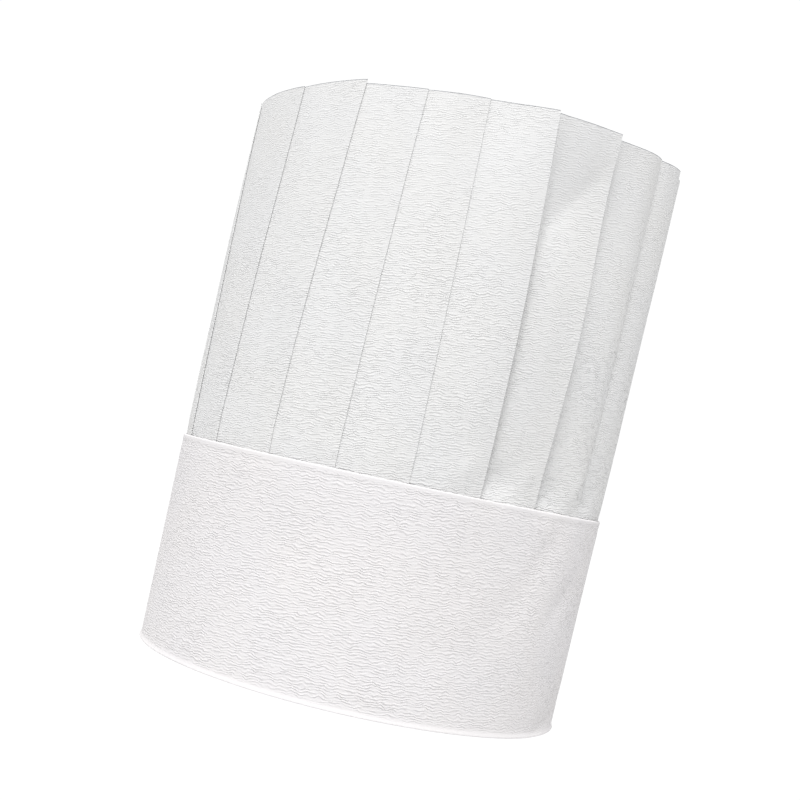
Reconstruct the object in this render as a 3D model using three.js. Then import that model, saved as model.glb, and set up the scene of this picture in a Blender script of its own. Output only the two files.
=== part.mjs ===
// Paper chef hat: a knife-pleated crown of embossed paper, tucked into a folded paper headband.
// Millimetres, +Z up. The origin is the middle of the headband's lower edge, where the hat stands.
// Angles are degrees round the axis: 0 is the front (-Y), and they grow towards +X.
import * as THREE from 'three';

// Paper
const PAPER = 1; // thickness of a wall
const LAYER_GAP = 0.25; // between two layers of one pleat
const PIECE_GAP = 0.3; // between the crown and the headband
const LAYER = PAPER + LAYER_GAP; // from one layer of a pleat to the next

// Headband
const BAND_HEIGHT = 93.7; // at the front
const BAND_RISE = 1.6; // its upper edge stands this much higher at +X, and lower at -X
const BAND_FOOT_RADIUS = 95.3; // outer face at the lower edge
const BAND_TOP_RADIUS = 97.1; // outer face at the upper edge
const BAND_STEPS = 120;
const SEAM_ANGLE = 180; // the lapped seam is at the back
const SEAM_LAP = 26; // how far one end of the strip lies over the other

// Crown
const HAT_HEIGHT = 250; // at the front
const RIM_RISE = 5; // its free edge stands this much higher at +X, and lower at -X
const TUCK = 20; // how far it reaches down behind the headband
const SHOULDER = 12; // above the headband it swells to its full width over this height
const SHOULDER_RADIUS = 96.6; // outer face of the fold edges there
const PLEAT_DEPTH = 13; // from a fold's edge back to the hidden fold under it
const FLARE_POWER = 0.8; // the fold edges spring open towards the rim, fast at first

// One row for each pleat, from the left of the front round to the back. Each fold's edge leans
// from its angle at the headband to its angle at the rim. out is how far its outer face stands
// out of the shoulder's radius, edge its radius at the rim, and open how far it stands there off
// the panel that comes out from under it. high and low are how far the cut edge lies above the
// rim's level at the fold's edge and on the panel next to it.
const PLEATS = [
  { band: -69.5, rim: -77.5, out: 0, edge: 97.4, open: 0.6, high: -0.4, low: -0.6 },
  { band: -51.5, rim: -48, out: 0, edge: 97.2, open: 0.6, high: -0.3, low: -0.4 },
  { band: -31.6, rim: -27.6, out: 0, edge: 98, open: 0.9, high: 1.6, low: 0.1 },
  { band: -13.7, rim: -12.1, out: 0, edge: 97.1, open: 0.8, high: -0.2, low: -0.3 },
  { band: 4.1, rim: 2.7, out: 0, edge: 97.6, open: 0.8, high: 0.1, low: -0.1 },
  { band: 22.1, rim: 19.6, out: 0, edge: 98.9, open: 3.4, high: 1.4, low: 0.7 },
  { band: 39.7, rim: 38.6, out: 0, edge: 98.3, open: 3, high: 0.1, low: -1.9 },
  { band: 58.1, rim: 60, out: -1, edge: 96.6, open: 1, high: -1.2, low: -1.3 },
  { band: 73.5, rim: 71.5, out: 0.5, edge: 99.3, open: 2.2, high: -0.2, low: -2 },
  { band: 94.2, rim: 93, out: 0, edge: 98.4, open: 1.2, high: -1.2, low: -0.8 },
  { band: 112.1, rim: 113, out: 0, edge: 97.2, open: 0.8, high: -0.2, low: 0.2 },
  { band: 130, rim: 129, out: 0, edge: 99.4, open: 2.2, high: 0.9, low: 0 },
  { band: 147.9, rim: 148.5, out: 0, edge: 98, open: 0.9, high: -0.3, low: -0.5 },
  { band: 165.8, rim: 164, out: 0, edge: 98.6, open: 0.9, high: 0.2, low: 0.3 },
  { band: 183.7, rim: 183, out: 0, edge: 99, open: 1.6, high: 0.6, low: -0.6 },
  { band: 201.6, rim: 202.5, out: 0, edge: 99.6, open: 2.6, high: -0.1, low: -0.9 },
  { band: 219.5, rim: 219, out: 0, edge: 97.4, open: 0.8, high: -0.5, low: -0.2 },
  { band: 237.4, rim: 238, out: 0, edge: 98.2, open: 1.4, high: 0.5, low: 0.2 },
  { band: 255.3, rim: 250, out: 0, edge: 99.2, open: 2, high: 0.4, low: -0.3 },
  { band: 273.2, rim: 267.5, out: 0, edge: 98.6, open: 1, high: -0.1, low: 0.2 },
];

// The main dents, and swells with a depth less than 0: where each is, its half sizes along and
// across it, its turn in degrees from upright, and its depth.
const DENTS = [
  { angle: 28, height: 212, long: 24, wide: 14, turn: 39, depth: 3 },
  { angle: 38, height: 98, long: 45, wide: 26, turn: 0, depth: 3 },
  { angle: 10, height: 262, long: 26, wide: 17, turn: 0, depth: 1.8 },
  { angle: -8, height: 165, long: 75, wide: 85, turn: 0, depth: -2.4 },
];

const FULL_TURN = 360;
const MEAN_RADIUS = 96;
const radians = THREE.MathUtils.degToRad;
const { lerp } = THREE.MathUtils;
const asAngle = (length) => THREE.MathUtils.radToDeg(length / MEAN_RADIUS);

// How far the dents and swells move the paper in at a place.
function dentDepth(angle, height) {
  let depth = 0;
  for (const dent of DENTS) {
    const away = THREE.MathUtils.euclideanModulo(angle - dent.angle + 180, FULL_TURN) - 180;
    const x = radians(away) * MEAN_RADIUS;
    const y = height - dent.height;
    const turn = radians(dent.turn);
    const along = (y * Math.cos(turn) + x * Math.sin(turn)) / dent.long;
    const across = (x * Math.cos(turn) - y * Math.sin(turn)) / dent.wide;
    depth += dent.depth * Math.exp(-along * along - across * across);
  }
  return depth;
}

// A point from its angle, its radius, and the height and sideways rise of the level it lies on.
function pointAt(angle, radius, height, rise) {
  const x = Math.sin(radians(angle));
  const y = -Math.cos(radians(angle));
  const dented = radius - dentDepth(angle, height);
  return [dented * x, dented * y, height + rise * x];
}

// A closed wall from loops of equal length: a front loop and a back loop on each level, from the
// lowest level up. Each loop is a list of points that runs once round the axis, so the wall's
// front and back and its lower and upper edges are strips of quads between loops.
function wallGeometry(levels) {
  const count = levels[0].front.length;
  const loops = [...levels.map((level) => level.front), ...levels.map((level) => level.back).reverse()];
  const positions = loops.flat(2);
  const indices = [];
  for (let ring = 0; ring < loops.length; ring++) {
    const above = (ring + 1) % loops.length;
    for (let i = 0; i < count; i++) {
      const j = (i + 1) % count;
      const a = ring * count + i;
      const b = ring * count + j;
      const c = above * count + j;
      const d = above * count + i;
      indices.push(a, b, c, a, c, d);
    }
  }
  const geometry = new THREE.BufferGeometry();
  geometry.setAttribute('position', new THREE.Float32BufferAttribute(positions, 3));
  geometry.setIndex(indices);
  geometry.computeVertexNormals();
  return geometry;
}

// Headband: one ply stands for the folded strip. Over the seam its outer end adds a second ply.
function headbandGeometry() {
  const lapStart = SEAM_ANGLE - asAngle(SEAM_LAP) / 2;
  const lapEnd = SEAM_ANGLE + asAngle(SEAM_LAP) / 2;
  const edgeWidth = asAngle(PIECE_GAP);
  const stations = [];
  for (let i = 0; i < BAND_STEPS; i++) {
    const angle = (i * FULL_TURN) / BAND_STEPS;
    const lapped = angle > lapStart && angle < lapEnd;
    stations.push({ angle, extra: lapped ? PAPER : 0 });
  }
  stations.push({ angle: lapStart, extra: 0 }, { angle: lapStart + edgeWidth, extra: PAPER });
  stations.push({ angle: lapEnd - edgeWidth, extra: PAPER }, { angle: lapEnd, extra: 0 });
  stations.sort((p, q) => p.angle - q.angle);

  const level = (height, rise, radius) => ({
    front: stations.map(({ angle, extra }) => pointAt(angle, radius + extra, height, rise)),
    back: stations.map(({ angle }) => pointAt(angle, radius - PAPER, height, rise)),
  });
  const levels = [0, BAND_HEIGHT - TUCK, BAND_HEIGHT].map((height) => {
    const part = height / BAND_HEIGHT;
    return level(height, lerp(0, BAND_RISE, part), lerp(BAND_FOOT_RADIUS, BAND_TOP_RADIUS, part));
  });
  return wallGeometry(levels);
}

// The crown's section at one level: the sheet's front and back as angles and outer radii, and how
// far each place lies above the level. At each pleat the sheet runs right to the fold's edge, back
// left under itself to the hidden fold, and right again to become the next panel.
function crownSection(pleats) {
  const depth = asAngle(PLEAT_DEPTH);
  const turn = asAngle(PAPER);
  const front = [];
  const back = [];
  const add = (frontAngle, frontRadius, backAngle, backRadius, lift) => {
    front.push({ angle: frontAngle, radius: frontRadius, lift });
    back.push({ angle: backAngle, radius: backRadius, lift });
  };
  const layer = (angle, radius, lift) => add(angle, radius, angle, radius - PAPER, lift);
  pleats.forEach((pleat, i) => {
    const last = i === pleats.length - 1;
    const next = last ? { ...pleats[0], angle: pleats[0].angle + FULL_TURN } : pleats[i + 1];
    const hidden = pleat.angle - depth;
    const nextHidden = next.angle - depth;
    const over = next.start + 2 * LAYER;
    const middleLift = (pleat.high + pleat.low) / 2;
    const nextMiddleLift = (next.high + next.low) / 2;

    // The panel comes out from under this fold and climbs on to the next pleat's layers.
    add(hidden + turn, pleat.start, hidden, pleat.start - PAPER, middleLift);
    layer(pleat.angle - depth / 2, pleat.start, lerp(middleLift, pleat.low, 1 / 2));
    layer(pleat.angle, pleat.start, pleat.low);
    for (const part of [1 / 3, 2 / 3, 1]) {
      const angle = lerp(pleat.angle, nextHidden, part);
      layer(angle, lerp(pleat.start, over, part), lerp(pleat.low, next.high, 0.6 * part));
    }
    layer(next.angle - depth / 2, (over + next.edge) / 2, lerp(pleat.low, next.high, 0.8));

    // Round the next fold's edge, and back under the panel to its hidden fold.
    const returned = next.edge - LAYER;
    const tucked = next.start + LAYER;
    add(next.angle, next.edge, next.angle - turn, next.edge - PAPER, next.high);
    add(next.angle, returned - PAPER, next.angle - turn, returned, next.high);
    const middle = (returned + tucked) / 2;
    const halfway = next.angle - depth / 2;
    add(halfway, middle - PAPER, halfway, middle, lerp(next.high, nextMiddleLift, 1 / 2));
    add(nextHidden + turn, tucked - PAPER, nextHidden, tucked, nextMiddleLift);
  });
  return { front, back };
}

// The pleats as they lie at a part of the way from the shoulder up to the rim. Down to the
// headband, climb is how much of the shoulder lies below.
function pleatsAt(part, lowRadius, climb) {
  const pressed = 2 * LAYER;
  const flare = part ** FLARE_POWER;
  return PLEATS.map((pleat) => {
    const edge = lerp(lowRadius + climb * pleat.out, pleat.edge, flare);
    const open = lerp(pressed, Math.max(pleat.open, pressed), flare);
    const angle = lerp(pleat.band, pleat.rim, part);
    return { angle, edge, start: edge - open, high: part * pleat.high, low: part * pleat.low };
  });
}

function crownGeometry() {
  const insideBand = BAND_TOP_RADIUS - PAPER - PIECE_GAP;
  const taper = (BAND_TOP_RADIUS - BAND_FOOT_RADIUS) / BAND_HEIGHT;
  const shoulderHeight = BAND_HEIGHT + SHOULDER;
  const levels = [
    { height: BAND_HEIGHT - TUCK, part: 0, climb: 0, low: insideBand - taper * TUCK },
    { height: BAND_HEIGHT, part: 0, climb: 0, low: insideBand },
    { height: shoulderHeight, part: 0, climb: 1, low: SHOULDER_RADIUS },
  ];
  for (const part of [0.3, 0.5, 0.65, 0.75, 0.87, 1]) {
    const height = lerp(shoulderHeight, HAT_HEIGHT, part);
    levels.push({ height, part, climb: 1, low: SHOULDER_RADIUS });
  }
  return wallGeometry(levels.map(({ height, part, climb, low }) => {
    const rise = lerp(BAND_RISE, RIM_RISE, part);
    const section = crownSection(pleatsAt(part, low, climb));
    const place = ({ angle, radius, lift }) => pointAt(angle, radius, height + lift, rise);
    return { front: section.front.map(place), back: section.back.map(place) };
  }));
}

function paperMesh(name, geometry, colour) {
  const material = new THREE.MeshStandardMaterial({ color: colour, roughness: 0.85, metalness: 0 });
  const mesh = new THREE.Mesh(geometry, material);
  mesh.name = name;
  return mesh;
}

const hat = new THREE.Group();
hat.add(paperMesh('headband', headbandGeometry(), 0xf4f3f1));
hat.add(paperMesh('crown', crownGeometry(), 0xf1f1f0));
export default hat;
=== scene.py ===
"""A tall paper chef hat: a knife-pleated crown of embossed paper in a folded paper headband.

Metres, +Z up, the headband's lower edge on Z = 0. Angles are degrees round the axis: 0 is the
front (-Y), where the camera stands, and they grow towards +X.
"""

import math

import bpy
import numpy as np
from mathutils import Matrix, Vector


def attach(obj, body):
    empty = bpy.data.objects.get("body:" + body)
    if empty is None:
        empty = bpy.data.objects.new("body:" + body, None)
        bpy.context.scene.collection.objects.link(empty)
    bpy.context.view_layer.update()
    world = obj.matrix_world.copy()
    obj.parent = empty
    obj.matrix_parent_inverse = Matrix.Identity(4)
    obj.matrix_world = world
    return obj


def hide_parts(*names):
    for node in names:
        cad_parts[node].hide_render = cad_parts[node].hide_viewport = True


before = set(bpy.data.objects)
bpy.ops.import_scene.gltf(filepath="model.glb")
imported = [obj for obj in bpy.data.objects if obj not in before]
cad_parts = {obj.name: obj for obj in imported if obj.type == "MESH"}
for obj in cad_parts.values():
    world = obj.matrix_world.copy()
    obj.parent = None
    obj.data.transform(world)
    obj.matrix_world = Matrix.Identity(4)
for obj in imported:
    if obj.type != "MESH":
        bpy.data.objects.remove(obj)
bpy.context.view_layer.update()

MM = 0.001

# Light
BACKDROP = 1.03  # how bright the surroundings are behind the hat
SKY = 0.58  # and everywhere else
BACKDROP_START = 0.3  # from a direction with this Y part on, the sky turns into the backdrop
BACKDROP_FULL = 0.85  # and from here on it is all backdrop
FLOOR_GLOW = 1.06
FLOOR_REACH = 12  # metres from the axis to each side
SUN_POWER = 2.75
SUN_AZIMUTH = -16  # degrees round the axis
SUN_ELEVATION = 67  # degrees above the floor
SUN_SOFTNESS = 14  # degrees that it is wide

# Camera, from the photo's outline: it stands low in front, and the picture is turned clockwise.
CAMERA_DISTANCE = 0.655  # from the hat's axis
CAMERA_HEIGHT = 0.103
LOOK_UP = 2.28  # degrees
LOOK_LEFT = 0.39
PICTURE_TURN = 12.96
SENSOR = 36  # mm
LENS = 63.8  # mm

# Paper
PAPER = 0.17 * MM  # thickness of one ply
LAYER = 0.25 * MM  # from one ply of a pressed fold to the next
MEAN_RADIUS = 96 * MM  # where lengths round the hat are turned into angles
FOOT_WAVES = 0.35  # share of their height that the sheet's slow waves have at the lower edge
CREASE_START = 3  # degrees over which a crease comes up
SHARP_EDGE = 40  # degrees between two faces from which their edge is shaded as sharp
RIM_SHADE_GREY = (0.4, 0.41, 0.43, 1)  # painted shade: colour of the grey line along the rim's edge
RIM_SHADE_BLUR = 0.15 * MM  # over which the sheet's colour passes to it
NO_RIM_SHADE = 1  # metres up the sheet, which is beyond its end, so that no painted rim shade shows
COOL_TINT = (0.994, 0.996, 1)  # the sheet's colour goes between these two in faint clouds
WARM_TINT = (1, 0.999, 0.996)
LIGHT_THROUGH = (0.79, 0.8, 0.82, 1)  # colour of the light that the sheet lets pass

# Embossing
RIDGE_BEND = 1.5  # how far the wide waves shift the ridges, against their pitch
RIDGE_RIPPLE = 0.55  # how far the small waves do
RIDGE_POWER = 1.25  # makes the ridges narrower than the valleys
GRAIN = 0.2  # height of the fine grain against the ridges

# Headband
BAND_HEIGHT = 93.7 * MM  # at the front
BAND_RISE = 1.6 * MM  # its upper edge stands this much higher at +X, and lower at -X
BAND_FOOT_RADIUS = 95.3 * MM  # outer face at the lower edge
BAND_TOP_RADIUS = 97.1 * MM  # outer face at the upper edge
BAND_TAPER = (BAND_TOP_RADIUS - BAND_FOOT_RADIUS) / BAND_HEIGHT
BAND_COLUMNS = 360
BAND_ROW = 2.2 * MM
HEM = 11 * MM  # turned up inside at the lower edge
TOP_BEAD = 0.22 * MM  # radius of the rounded fold at the upper edge
BEVEL = 0.4 * MM  # how far the upper edge leans in, over the height of the bevel
BEVEL_HEIGHT = 0.38 * MM
FOOT_BEAD = 0.42 * MM  # radius of the rounded fold at the lower edge
FOLD_STEPS = 9  # points round the upper fold; the lower one has one less
LIP = 0.85 * MM  # how far the lower edge stands out
LIP_HEIGHT = 2.3 * MM
LIP_POWER = 1.3  # it turns out slowly at first
LIP_STEPS = 6
INNER_FOOT = 1.2 * MM  # height of the inner ply's lower end
SEAM_ANGLE = 180
SEAM_LAP = 26 * MM
SEAM_CLIMB = 5  # degrees over which the outer end climbs on to the inner one
SEAM_THICKNESS = 1.35 * MM  # of the inner end, which the outer one lies on

# Crown
HAT_HEIGHT = 250 * MM  # at the front
RIM_RISE = 5 * MM
TUCK = 20 * MM  # behind the headband
SHOULDER = 12 * MM  # above the headband it swells to its full width over this height
SHOULDER_RADIUS = 96.6 * MM  # outer face of the fold edges there
SEAT_GAP = 0.12 * MM  # between its lower part and the headband
PLEAT_DEPTH = 13 * MM  # from a fold's edge back to the hidden fold under it
FLARE_POWER = 0.8  # the fold edges spring open towards the rim, fast at first
PANEL_POWER = 1.9  # a panel climbs out from under one fold to the next, fast at first
BELLY_OUT = 0.3  # share of a belly by which the fold's edge stands out
BELLY_IN = 0.7  # share by which the panel under it lies in
BULGE_ALL = 0.7  # share of a bulge that is there from the shoulder to the rim
BULGE_MIDDLE = 0.3  # share that comes and goes between them
CROWN_ROW = 2.3 * MM
PANEL_STEPS = 8  # in the part of a panel that is one ply
STACK_STEPS = 7  # in the part that lies over the pleat's hidden plies
HIDDEN_STEPS = 3

# One row for each pleat, from the left of the front round to the back: the angle of the fold's
# edge at the headband and at the rim, then in mm how far the edge stands off the panel that comes
# out from under it above the headband, the radius of its outer face at the rim, how far it stands
# off there, how much further half way up, and how high the cut edge lies against the rim's level
# at the fold's edge and next to it. A bulge is how far the panel that leads up to the fold swells
# out on its way, and out how much further out the edge lies above the headband.
PLEATS = [
    dict(band=-69.5, rim=-77.5, foot=0.63, edge=97.4, open=0.57, belly=0, high=-0.4, low=-0.6),
    dict(band=-51.5, rim=-48, foot=0.6, edge=97.2, open=0.6, belly=0, high=-0.3, low=-0.4),
    dict(band=-31.6, rim=-27.6, foot=0.55, edge=98, open=0.65, belly=0, high=1.6, low=0.1),
    dict(band=-13.7, rim=-12.1, foot=0.6, edge=97.1, open=0.6, belly=0, high=-0.2, low=-0.3),
    dict(band=4.1, rim=2.7, foot=0.75, edge=97.6, open=0.7, belly=0, high=0.1, low=-0.1),
    dict(band=22.1, rim=19.6, foot=3.8, edge=98.9, open=1.8, belly=3.2, high=1.4, low=0.7),
    dict(band=39.7, rim=38.6, foot=2.6, edge=98.3, open=2, belly=1.8, high=0.1, low=-1.9, bulge=-1.2),
    dict(band=58.1, rim=60, foot=1.3, edge=95.8, open=0.8, belly=0, high=-0.6, low=-0.8, bulge=1.6,
         out=-1.5),
    dict(band=73.5, rim=71.5, foot=1.2, edge=99.3, open=2.2, belly=0.4, high=-0.2, low=-2, out=0.5),
    dict(band=94.2, rim=93, foot=0.8, edge=98.4, open=1.2, belly=0.5, high=-1.2, low=-0.8),
    dict(band=112.1, rim=113, foot=0.6, edge=97.2, open=0.8, belly=0.2, high=-0.2, low=0.2),
    dict(band=130, rim=129, foot=0.8, edge=99.4, open=2.2, belly=0.3, high=0.9, low=0),
    dict(band=147.9, rim=148.5, foot=0.6, edge=98, open=0.9, belly=0.1, high=-0.3, low=-0.5),
    dict(band=165.8, rim=164, foot=0.6, edge=98.6, open=0.9, belly=0.4, high=0.2, low=0.3),
    dict(band=183.7, rim=183, foot=0.7, edge=99, open=1.6, belly=0.2, high=0.6, low=-0.6),
    dict(band=201.6, rim=202.5, foot=0.9, edge=99.6, open=2.6, belly=0.6, high=-0.1, low=-0.9),
    dict(band=219.5, rim=219, foot=0.6, edge=97.4, open=0.8, belly=0.1, high=-0.5, low=-0.2),
    dict(band=237.4, rim=238, foot=0.7, edge=98.2, open=1.4, belly=0.3, high=0.5, low=0.2),
    dict(band=255.3, rim=250, foot=0.8, edge=99.2, open=2, belly=0.5, high=0.4, low=-0.3),
    dict(band=273.2, rim=267.5, foot=0.6, edge=98.6, open=1, belly=0.3, high=-0.1, low=0.2),
]

# Slow waves that the sheet has all round: how many round the hat, how many over its height, the
# phase in turns and the height in mm.
WAVES = [
    dict(around=3, up=0.4, phase=0.10, size=0.30),
    dict(around=7, up=-0.7, phase=0.35, size=0.16),
    dict(around=11, up=1.1, phase=0.62, size=0.13),
    dict(around=17, up=-1.6, phase=0.21, size=0.10),
    dict(around=23, up=2.3, phase=0.83, size=0.07),
    dict(around=31, up=-2.9, phase=0.47, size=0.05),
]

# Single dents and swells: place, half sizes in mm along and across the dent, its turn in degrees
# from upright, and its depth in mm, less than 0 for a swell. A crease has a second size across
# for its upper side, comes to an edge, and starts at an angle round the hat.
DENTS = [
    dict(angle=28, height=214, long=26, wide=18, upper=34, turn=39, depth=5, start=20),
    dict(angle=11, height=262, long=30, wide=15, turn=0, depth=3),
    dict(angle=-14, height=264, long=22, wide=26, turn=0, depth=0.8),
    dict(angle=-8, height=165, long=75, wide=85, turn=0, depth=-2.4),
    dict(angle=38, height=98, long=45, wide=26, turn=0, depth=3),
    dict(angle=27, height=102, long=7.5, wide=6, turn=-15, depth=1.3),
    dict(angle=44, height=102, long=7, wide=5, turn=-15, depth=1),
    dict(angle=61, height=101, long=6, wide=4, turn=-15, depth=0.7),
    dict(angle=17, height=105, long=6, wide=4.5, turn=25, depth=-0.8),
    dict(angle=35, height=105, long=6, wide=4, turn=25, depth=-0.7),
    dict(angle=53.5, height=105, long=6, wide=4, turn=25, depth=-0.7),
    dict(angle=69.5, height=7, long=15, wide=3, upper=5, turn=74, depth=1.6, start=57),
    dict(angle=46, height=74, long=17, wide=6, turn=35, depth=0.8),
    dict(angle=58, height=58, long=14, wide=5, turn=40, depth=0.8),
    dict(angle=38, height=52, long=15, wide=7, turn=50, depth=0.55),
    dict(angle=20, height=30, long=26, wide=9, turn=80, depth=0.25),
    dict(angle=-20, height=60, long=30, wide=14, turn=65, depth=0.3),
]

# The shallow dip of the headband under its upper fold: how far in from the outer face, and how
# far below the upper edge, in mm.
DIP = [(0.02, 1.5), (0.1, 2.6), (0.17, 3.4), (0.1, 4.6)]


def as_degrees(length):
    return math.degrees(length / MEAN_RADIUS)


def lerp(a, b, part):
    return a + (b - a) * part


def smooth(part):
    """From 0 to 1, slow at both ends."""
    return part * part * (3 - 2 * part)


# The sheet's own shape: waves and dents

def swell(angle, height):
    """How far the sheet stands out at these places, in metres: its slow waves and its dents."""
    around = np.radians(angle)
    up = height / HAT_HEIGHT
    out = np.zeros_like(height)
    for wave in WAVES:
        turn = wave["around"] * around + 2 * math.pi * (wave["up"] * up + wave["phase"])
        out += wave["size"] * MM * np.sin(turn)
    out *= lerp(FOOT_WAVES, 1, up)
    for dent in DENTS:
        away = (angle - dent["angle"] + 180) % 360 - 180
        x = np.radians(away) * MEAN_RADIUS
        y = height - dent["height"] * MM
        turn = math.radians(dent["turn"])
        along = (y * math.cos(turn) + x * math.sin(turn)) / (dent["long"] * MM)
        across = (x * math.cos(turn) - y * math.sin(turn)) / (dent["wide"] * MM)
        shape = np.exp(-(along ** 2) - across ** 2)
        if "upper" in dent:
            across = np.where(across < 0, across * dent["wide"] / dent["upper"], across)
            begun = np.clip((away + dent["angle"] - dent["start"]) / CREASE_START, 0, 1)
            shape = np.exp(-(along ** 2) - np.abs(across)) * smooth(begun)
        out -= dent["depth"] * MM * shape
    return out


def place(angle, radius, height, rise):
    """Points from angles in degrees, radii, heights at the front and the level's sideways rise."""
    around = np.radians(angle)
    out = radius + swell(angle, height)
    x = np.sin(around)
    return np.stack([out * x, -out * np.cos(around), height + rise * x], axis=-1)


# Meshes

def paper_mesh(name, points, quads, uvs):
    """A piece from its points, its faces and the places on the flat sheet of each face's corners."""
    mesh = bpy.data.meshes.new(name)
    mesh.from_pydata(points.reshape(-1, 3).tolist(), [], quads.tolist())
    layer = mesh.uv_layers.new(name="sheet")
    layer.data.foreach_set("uv", uvs.reshape(-1).astype(np.float32))
    mesh.shade_smooth()
    mesh.set_sharp_from_angle(angle=math.radians(SHARP_EDGE))
    piece = bpy.data.objects.new(name, mesh)
    bpy.context.scene.collection.objects.link(piece)
    return piece


def grid_mesh(name, loops, uvs):
    """A closed body from loops of points, each joined to the next, and the last to the first.
    uvs has one more loop and one more column than loops, because the sheet itself doesn't close."""
    count, width = loops.shape[:2]
    loop, column = np.indices((count, width))
    corners = [(loop + a, column + b) for a, b in ((0, 0), (0, 1), (1, 1), (1, 0))]
    quads = np.stack([(a % count) * width + b % width for a, b in corners], axis=-1)
    places = np.stack([uvs[a, b] for a, b in corners], axis=2)
    return paper_mesh(name, loops, quads.reshape(-1, 4), places)


def strip_mesh(name, loops, uvs):
    """A closed body from lines of points that run along a strip, the last joined to the first, so
    that they wrap round it. Its two ends are closed by quads between its two faces."""
    count, width = loops.shape[:2]
    loop, column = np.indices((count, width - 1))
    after = (loop + 1) % count
    loop_of = np.stack([loop, loop, after, after], axis=-1).reshape(-1, 4)
    column_of = np.stack([column, column + 1, column + 1, column], axis=-1).reshape(-1, 4)
    side = np.arange(count // 2 - 1)
    other = count - 1 - side
    for end, order in ((0, 1), (width - 1, -1)):
        cap = np.stack([side, side + 1, other - 1, other][::order], axis=-1)
        loop_of = np.concatenate([loop_of, cap])
        column_of = np.concatenate([column_of, np.full_like(cap, end)])
    return paper_mesh(name, loops, loop_of * width + column_of, uvs[loop_of, column_of])


def pleats_at(part, edge_radius, climb):
    """The pleats part of the way from the shoulder to the rim, each as its fold edge's angle and
    radius, the radius of the panel that starts under it, and how far the two lie above the level.
    Where part is 0, every edge has this radius, and climb is how far up the shoulder it is."""
    flare = part ** FLARE_POWER
    belly = 4 * part * (1 - part)
    bulging = BULGE_ALL * climb + BULGE_MIDDLE * math.sin(math.pi * part)
    rows = []
    for pleat in PLEATS:
        low = edge_radius + climb * pleat.get("out", 0) * MM
        edge = lerp(low, pleat["edge"] * MM, flare)
        foot = lerp(2 * LAYER, pleat["foot"] * MM, climb)
        opened = max(lerp(foot, pleat["open"] * MM, flare), 2 * LAYER)
        rows.append(dict(
            angle=lerp(pleat["band"], pleat["rim"], part),
            edge=edge + BELLY_OUT * belly * pleat["belly"] * MM,
            start=edge - opened - BELLY_IN * belly * pleat["belly"] * MM,
            high=part * pleat["high"] * MM,
            low=part * pleat["low"] * MM,
            bulge=bulging * pleat.get("bulge", 0) * MM,
        ))
    first = rows[0]
    rows.append(dict(first, angle=first["angle"] + 360))
    return rows


def crown_section(rows):
    """The pleated sheet at one level: angle and radius of its front and of its back, and how far
    above the level it lies. The sheet runs right to a fold's edge, back left to the hidden fold,
    and right again as the next panel."""
    depth = as_degrees(PLEAT_DEPTH)
    turn = as_degrees(PAPER)
    out = []

    def add(front_angle, front_radius, back_angle, back_radius, lift):
        out.append((front_angle, front_radius, back_angle, back_radius, lift))

    for pleat, following in zip(rows[:-1], rows[1:]):
        hidden = pleat["angle"] - depth
        next_hidden = following["angle"] - depth
        width = following["angle"] - pleat["angle"]
        middle = (pleat["high"] + pleat["low"]) / 2
        add(hidden + turn, pleat["start"], hidden, pleat["start"] - PAPER, middle)
        for i in range(1, HIDDEN_STEPS + 1):
            part = i / HIDDEN_STEPS
            angle = lerp(hidden, pleat["angle"], part)
            add(angle, pleat["start"], angle, pleat["start"] - PAPER, lerp(middle, pleat["low"], part))
        visible = [lerp(0, 1 - depth / width, i / PANEL_STEPS) for i in range(1, PANEL_STEPS + 1)]
        visible += [lerp(1 - depth / width, 1, i / STACK_STEPS) for i in range(1, STACK_STEPS)]
        for part in visible:
            angle = lerp(pleat["angle"], following["angle"], part)
            radius = lerp(pleat["start"], following["edge"], 1 - (1 - part) ** PANEL_POWER)
            radius += following["bulge"] * math.sin(math.pi * part * part)
            add(angle, radius, angle, radius - PAPER, lerp(pleat["low"], following["high"], part))
        edge = following["edge"]
        end = following["angle"]
        lift = following["high"]
        add(end, edge, end - turn, edge - PAPER, lift)
        add(end + turn / 2, edge - (LAYER + PAPER) / 2, end - turn, edge - (LAYER + PAPER) / 2, lift)
        add(end, edge - LAYER - PAPER, end - turn, edge - LAYER, lift)
        tucked = following["start"] + LAYER
        middle = (following["high"] + following["low"]) / 2
        for i in range(1, HIDDEN_STEPS):
            part = i / HIDDEN_STEPS
            angle = lerp(end, next_hidden, part)
            radius = lerp(edge - LAYER, tucked, part)
            add(angle, radius - PAPER, angle, radius, lerp(lift, middle, part))
        add(next_hidden + turn, tucked - PAPER, next_hidden, tucked, middle)
    return np.array(out)


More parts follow.
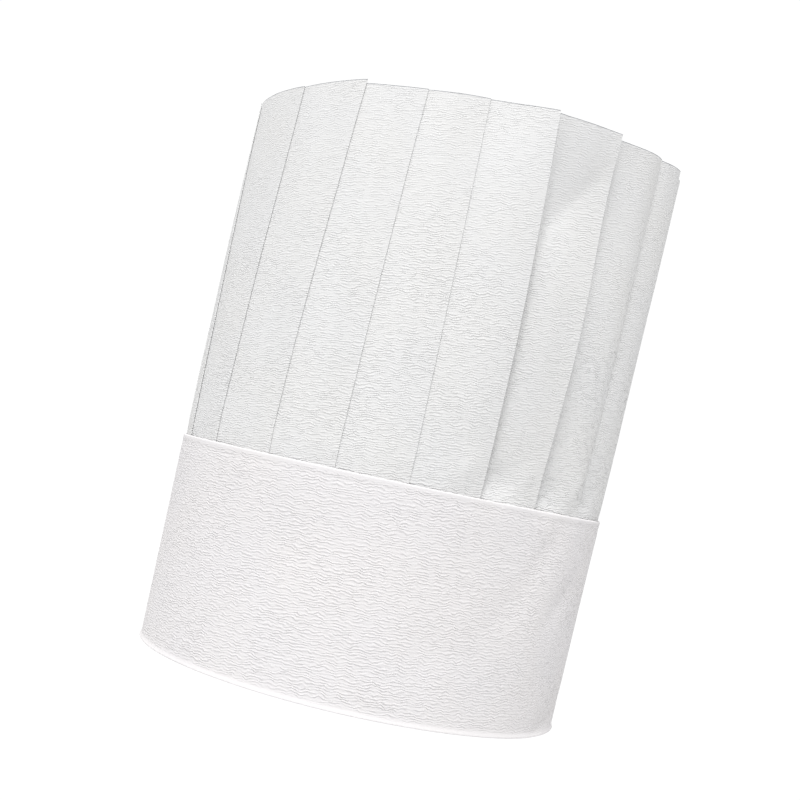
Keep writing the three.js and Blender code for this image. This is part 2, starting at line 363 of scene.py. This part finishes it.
def make_crown():
    """The crown: one closed thin wall that follows the pleated sheet from the tuck to the rim."""
    inside_band = BAND_TOP_RADIUS - BEVEL - 2 * TOP_BEAD - SEAT_GAP
    shoulder = BAND_HEIGHT + SHOULDER
    foot = BAND_HEIGHT - TUCK
    steps = round((HAT_HEIGHT - foot) / CROWN_ROW)
    fronts, backs, uvs = [], [], []
    for height in np.linspace(foot, HAT_HEIGHT, steps + 1):
        part = max(0.0, (height - shoulder) / (HAT_HEIGHT - shoulder))
        climb = min(1.0, max(0.0, (height - BAND_HEIGHT) / SHOULDER))
        climb = climb * (2 - climb)
        tucked = inside_band - BAND_TAPER * max(0.0, BAND_HEIGHT - height)
        edge = lerp(tucked, SHOULDER_RADIUS, climb)
        section = crown_section(pleats_at(part, edge, climb))
        rise = lerp(BAND_RISE, RIM_RISE, part)
        level = height + section[:, 4]
        front = place(section[:, 0], section[:, 1], level, rise)
        back = place(section[:, 2], section[:, 3], level, rise)
        middle = (front + back) / 2
        step = np.linalg.norm(np.roll(middle, -1, axis=0) - middle, axis=1)
        along = np.concatenate([[0], np.cumsum(step)])
        fronts.append(front)
        backs.append(back)
        uvs.append(np.stack([along, np.full_like(along, height - HAT_HEIGHT)], axis=-1))
    loops = np.array(fronts + backs[::-1])
    return grid_mesh("crown_paper", loops, np.array(uvs + uvs[::-1] + uvs[:1]))


def arc(centre, radius, start, stop, steps):
    """Points of a round fold: depth below the outer face and height."""
    points = []
    for turn in np.linspace(math.radians(start), math.radians(stop), steps):
        points.append((centre[0] - radius * math.cos(turn), centre[1] + radius * math.sin(turn)))
    return points


def band_section(top):
    """The folded strip in section, as the middle line of its paper: depth below the outer face
    and height, from the inner ply's lower end over the upper fold, down the outer ply, round the
    lower fold and up the hem."""
    outer = PAPER / 2
    hem = outer + LAYER
    inner = hem + LAYER
    # The inner ply, which leans towards the back of the upper fold over its last 4 mm
    line = [(inner, height) for height in np.arange(INNER_FOOT, top - 4 * MM, BAND_ROW)]
    bead = TOP_BEAD - PAPER / 2
    lean = math.atan2(BEVEL, BEVEL_HEIGHT)
    centre = (outer + BEVEL + bead * math.cos(lean), top - TOP_BEAD)
    back = centre[0] + bead
    line += [(lerp(inner, back, 0.3), top - 3.2 * MM), (lerp(inner, back, 0.8), top - 1.6 * MM)]
    # The upper fold, from a little below its back to where the bevel starts
    line += arc(centre, bead, 185, math.degrees(lean), FOLD_STEPS)
    # The bevel's lower corner, a little rounded, the dip and the flat outer ply
    corner = line[-1][1] - BEVEL_HEIGHT
    line += [(outer + 0.1 * BEVEL, corner + 0.1 * BEVEL_HEIGHT), (outer, corner - 0.06 * MM)]
    line += [(outer + inward * MM, top - below * MM) for inward, below in DIP]
    line += [(outer, height) for height in np.arange(top - 6 * MM, LIP_HEIGHT + 1 * MM, -BAND_ROW)]
    # The lip, and the lower fold from its front round to its back
    bead = FOOT_BEAD - PAPER / 2
    for height in np.linspace(LIP_HEIGHT, FOOT_BEAD, LIP_STEPS):
        out = LIP * (1 - height / LIP_HEIGHT) ** LIP_POWER
        line.append((outer - out, height))
    out = line[-1][0]
    line += arc((out + bead, FOOT_BEAD), bead, -20, -200, FOLD_STEPS - 1)
    # The hem, which follows the lip and then stands straight
    line += [(hem - 0.3 * LIP, 1.6 * MM), (hem, 2.8 * MM)]
    line += [(hem, height) for height in np.arange(4.6 * MM, HEM, BAND_ROW)]
    return np.array(line)


def make_band():
    """The headband: the folded strip, carried once round the axis from the seam, where its outer
    end lies over its inner end."""
    half_lap = as_degrees(SEAM_LAP) / 2
    first = SEAM_ANGLE - half_lap
    last = SEAM_ANGLE + half_lap + 360
    angles = np.linspace(first, last, BAND_COLUMNS + 1)
    under = first + 360
    climb = np.clip((angles - under + SEAM_CLIMB) / SEAM_CLIMB, 0, 1)
    lapped = SEAM_THICKNESS * smooth(climb)
    line = band_section(BAND_HEIGHT)
    tangent = np.gradient(line, axis=0)
    tangent /= np.linalg.norm(tangent, axis=1)[:, None]
    normal = np.stack([tangent[:, 1], -tangent[:, 0]], axis=-1)
    length = np.concatenate([[0], np.cumsum(np.linalg.norm(np.diff(line, axis=0), axis=1))])
    section = np.concatenate([line - normal * PAPER / 2, (line + normal * PAPER / 2)[::-1]])
    on_sheet = np.concatenate([length, length[::-1]])
    depth, height = section[:, 0, None], np.maximum(section[:, 1, None], 0)
    radius = BAND_FOOT_RADIUS + BAND_TAPER * height - depth + lapped
    level = np.broadcast_to(height, radius.shape)
    loops = place(np.broadcast_to(angles, radius.shape), radius, level, BAND_RISE * height / BAND_HEIGHT)
    along = np.broadcast_to(np.radians(angles) * MEAN_RADIUS, radius.shape)
    uvs = np.stack([along, np.broadcast_to(on_sheet[:, None], radius.shape)], axis=-1)
    return strip_mesh("headband_paper", loops, uvs)


# Materials

def new_material(name):
    material = bpy.data.materials.new(name)
    material.use_nodes = True
    material.node_tree.nodes.clear()
    return material


class Nodes:
    """Adds nodes to a tree and links their inputs: a value sets a socket, an output links it."""

    def __init__(self, tree):
        self.tree = tree

    def add(self, kind, inputs=(), **settings):
        node = self.tree.nodes.new(kind)
        for key, value in settings.items():
            setattr(node, key, value)
        for key, value in dict(inputs).items():
            if isinstance(value, bpy.types.NodeSocket):
                self.tree.links.new(value, node.inputs[key])
            else:
                node.inputs[key].default_value = value
        return node

    def math(self, operation, a, b=0.0, c=0.0):
        return self.add("ShaderNodeMath", {0: a, 1: b, 2: c}, operation=operation).outputs[0]

    def ramp(self, value, first, last, low=0.0, high=1.0, kind="SMOOTHSTEP"):
        """Goes from low to high as the value goes from first to last."""
        return self.add("ShaderNodeMapRange", {
            "Value": value, "From Min": first, "From Max": last, "To Min": low, "To Max": high,
        }, interpolation_type=kind).outputs["Result"]


def crepe_relief(nodes, pitch, skew):
    """The embossed paper's relief at each place on the flat sheet, and that place: short wavy
    ridges that run nearly along it, stronger and weaker from place to place. pitch is from one
    ridge to the next, and skew is how steeply they fall along the sheet."""
    sheet = nodes.add("ShaderNodeUVMap", uv_map="sheet").outputs["UV"]
    split = nodes.add("ShaderNodeSeparateXYZ", {"Vector": sheet})
    along = split.outputs["X"]
    up = nodes.math("MULTIPLY_ADD", along, skew, split.outputs["Y"])

    def noise(wide, high, shift):
        """Soft spots of this size in mm. The shift makes each of these noises differ."""
        at = nodes.add("ShaderNodeCombineXYZ", {
            "X": nodes.math("MULTIPLY_ADD", along, 1 / (wide * MM), shift),
            "Y": nodes.math("MULTIPLY_ADD", up, 1 / (high * MM), shift),
        })
        return nodes.add("ShaderNodeTexNoise", {
            "Vector": at.outputs[0], "Scale": 1.0, "Detail": 0.0,
        }, noise_dimensions="2D").outputs["Fac"]

    phase = nodes.math("DIVIDE", up, pitch)
    phase = nodes.math("MULTIPLY_ADD", noise(wide=3.9, high=3.8, shift=3.1), RIDGE_BEND, phase)
    phase = nodes.math("MULTIPLY_ADD", noise(wide=1.7, high=1.3, shift=8.4), RIDGE_RIPPLE, phase)
    wave = nodes.math("SINE", nodes.math("MULTIPLY", phase, 2 * math.pi))
    ridge = nodes.math("POWER", nodes.math("MULTIPLY_ADD", wave, 0.5, 0.5), RIDGE_POWER)
    patches = nodes.ramp(noise(wide=4, high=1.5, shift=5.7), first=0.33, last=0.6, low=0.3)
    regions = noise(wide=21, high=17, shift=1.3)
    regions = nodes.ramp(regions, first=0.3, last=0.7, low=0.8, high=1.15, kind="LINEAR")
    fine = nodes.math("MULTIPLY", noise(wide=0.7, high=0.4, shift=2.2), GRAIN)
    relief = nodes.math("MULTIPLY_ADD", nodes.math("MULTIPLY", ridge, patches), regions, fine)
    return relief, along, split.outputs["Y"]


def tinted(colour, tint):
    return tuple(a * b for a, b in zip(colour, tint)) + (1,)


def paper_material(name, colour, pitch, skew, relief, fades, middle, growth, edge, through):
    """Embossed paper. Each of fades has two places up the sheet, and the share of its full height
    that the relief has at each. growth says the same of two distances from middle, which is a
    place along the sheet. edge is where up the sheet the painted grey shade along the rim's edge
    starts, and through the share of light that a face of the sheet lets pass."""
    material = new_material(name)
    nodes = Nodes(material.node_tree)
    height, along, up = crepe_relief(nodes, pitch, skew)
    for fade in fades:
        height = nodes.math("MULTIPLY", height, nodes.ramp(up, *fade))
    away = nodes.math("ABSOLUTE", nodes.math("SUBTRACT", along, middle))
    height = nodes.math("MULTIPLY", height, nodes.ramp(away, *growth))
    bump = nodes.add("ShaderNodeBump", {
        "Height": height, "Distance": relief, "Strength": 1.0,
    }).outputs["Normal"]
    sheet = nodes.add("ShaderNodeUVMap", uv_map="sheet").outputs["UV"]
    clouds = nodes.add("ShaderNodeTexNoise", {
        "Vector": sheet, "Scale": 26.0, "Detail": 2.0, "Roughness": 0.5,
    }, noise_dimensions="2D").outputs["Fac"]
    ramp = nodes.add("ShaderNodeValToRGB", {"Fac": clouds})
    cool, warm = ramp.color_ramp.elements
    cool.position = 0.35
    cool.color = tinted(colour, COOL_TINT)
    warm.position = 0.65
    warm.color = tinted(colour, WARM_TINT)
    # Painted shade: the sheet's colour turns to grey in a thin line along the crown's rim edge.
    rim_shade = nodes.ramp(up, edge, edge + RIM_SHADE_BLUR, kind="LINEAR")
    # The mix's inputs 6 and 7 and its output 2 are the ones that hold colours.
    tone = nodes.add("ShaderNodeMix", {
        "Factor": rim_shade, 6: ramp.outputs["Color"], 7: RIM_SHADE_GREY,
    }, data_type="RGBA").outputs[2]
    front = nodes.add("ShaderNodeBsdfPrincipled", {
        "Base Color": tone, "Roughness": 0.85, "Normal": bump, "Specular IOR Level": 0.2,
    })
    behind = nodes.add("ShaderNodeBsdfTranslucent", {"Color": LIGHT_THROUGH, "Normal": bump})
    mixed = nodes.add("ShaderNodeMixShader", {
        "Fac": through, 1: front.outputs["BSDF"], 2: behind.outputs["BSDF"],
    })
    nodes.add("ShaderNodeOutputMaterial", {"Surface": mixed.outputs["Shader"]})
    return material


def floor_material():
    """A white ground that shines evenly, as on a light table, so it shows no shadow."""
    material = new_material("floor_white")
    nodes = Nodes(material.node_tree)
    shader = nodes.add("ShaderNodeEmission", {"Color": (1, 1, 1, 1), "Strength": FLOOR_GLOW})
    nodes.add("ShaderNodeOutputMaterial", {"Surface": shader.outputs["Emission"]})
    return material


# The stage: floor, light and camera

def make_floor():
    mesh = bpy.data.meshes.new("floor")
    corners = [(x * FLOOR_REACH, y * FLOOR_REACH, 0) for x, y in ((-1, -1), (1, -1), (1, 1), (-1, 1))]
    mesh.from_pydata(corners, [], [(0, 1, 2, 3)])
    floor = bpy.data.objects.new("floor", mesh)
    bpy.context.scene.collection.objects.link(floor)
    floor.data.materials.append(floor_material())


def sun_light(name, azimuth, elevation, softness, power):
    """A soft far light. Its azimuth is an angle round the hat's axis, as the pleats' are."""
    data = bpy.data.lights.new(name, "SUN")
    data.angle = math.radians(softness)
    data.energy = power
    light = bpy.data.objects.new(name, data)
    around, up = math.radians(azimuth), math.radians(elevation)
    level = math.cos(up)
    towards = Vector((level * math.sin(around), -level * math.cos(around), math.sin(up)))
    light.rotation_euler = towards.to_track_quat("Z", "Y").to_euler()
    bpy.context.scene.collection.objects.link(light)


def make_light():
    """A white studio: a bright backdrop, dimmer light all round and a sun from the upper left."""
    world = bpy.data.worlds.new("studio")
    world.use_nodes = True
    nodes = Nodes(world.node_tree)
    background = world.node_tree.nodes["Background"]
    direction = nodes.add("ShaderNodeTexCoord").outputs["Generated"]
    backward = nodes.add("ShaderNodeSeparateXYZ", {"Vector": direction}).outputs["Y"]
    strength = nodes.ramp(backward, BACKDROP_START, BACKDROP_FULL, SKY, BACKDROP)
    world.node_tree.links.new(strength, background.inputs["Strength"])
    background.inputs["Color"].default_value = (1, 1, 1, 1)
    bpy.context.scene.world = world
    sun_light("key_light", SUN_AZIMUTH, SUN_ELEVATION, SUN_SOFTNESS, SUN_POWER)


def make_camera():
    data = bpy.data.cameras.new("camera")
    data.sensor_width = SENSOR
    data.lens = LENS
    data.clip_start = 0.02
    camera = bpy.data.objects.new("camera", data)
    left, up, turn = math.radians(LOOK_LEFT), math.radians(LOOK_UP), math.radians(PICTURE_TURN)
    level = Vector((-math.sin(left), math.cos(left), 0))
    right = Vector((math.cos(left), math.sin(left), 0))
    top = Vector((0, 0, 1))
    forward = level * math.cos(up) + top * math.sin(up)
    upward = top * math.cos(up) - level * math.sin(up)
    across = right * math.cos(turn) + upward * math.sin(turn)
    over = upward * math.cos(turn) - right * math.sin(turn)
    columns = Matrix((across, over, -forward)).transposed()
    place_at = Vector((0, -CAMERA_DISTANCE, CAMERA_HEIGHT))
    camera.matrix_world = Matrix.Translation(place_at) @ columns.to_4x4()
    bpy.context.scene.collection.objects.link(camera)
    bpy.context.scene.camera = camera


make_camera()
make_floor()
make_light()
bpy.context.scene.view_settings.view_transform = "Standard"

# The crown's embossing is fainter towards the rim and stronger at the sides than in front. Its material
# paints a grey shade line along the rim's edge.
crown = make_crown()
crown.data.materials.append(paper_material(
    "crown_paper", (0.858, 0.855, 0.852), pitch=1 * MM, skew=-0.1, relief=0.19 * MM,
    fades=[(-110 * MM, -10 * MM, 1, 0.6)], middle=205 * MM, growth=(105 * MM, 195 * MM, 1, 1.25),
    edge=-0.35 * MM, through=0.14,
))
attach(crown, "root")
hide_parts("crown")

# The headband's embossing shows on its outer ply, between the upper fold and the lip.
band = make_band()
band.data.materials.append(paper_material(
    "band_paper", (0.904, 0.882, 0.887), pitch=1.18 * MM, skew=0.04, relief=0.2 * MM,
    fades=[(93.9 * MM, 94.7 * MM, 0, 1), (181.5 * MM, 185.5 * MM, 1, 0)],
    middle=603 * MM, growth=(30 * MM, 110 * MM, 1, 1.1), edge=NO_RIM_SHADE, through=0.15,
))
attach(band, "root")
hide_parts("headband")
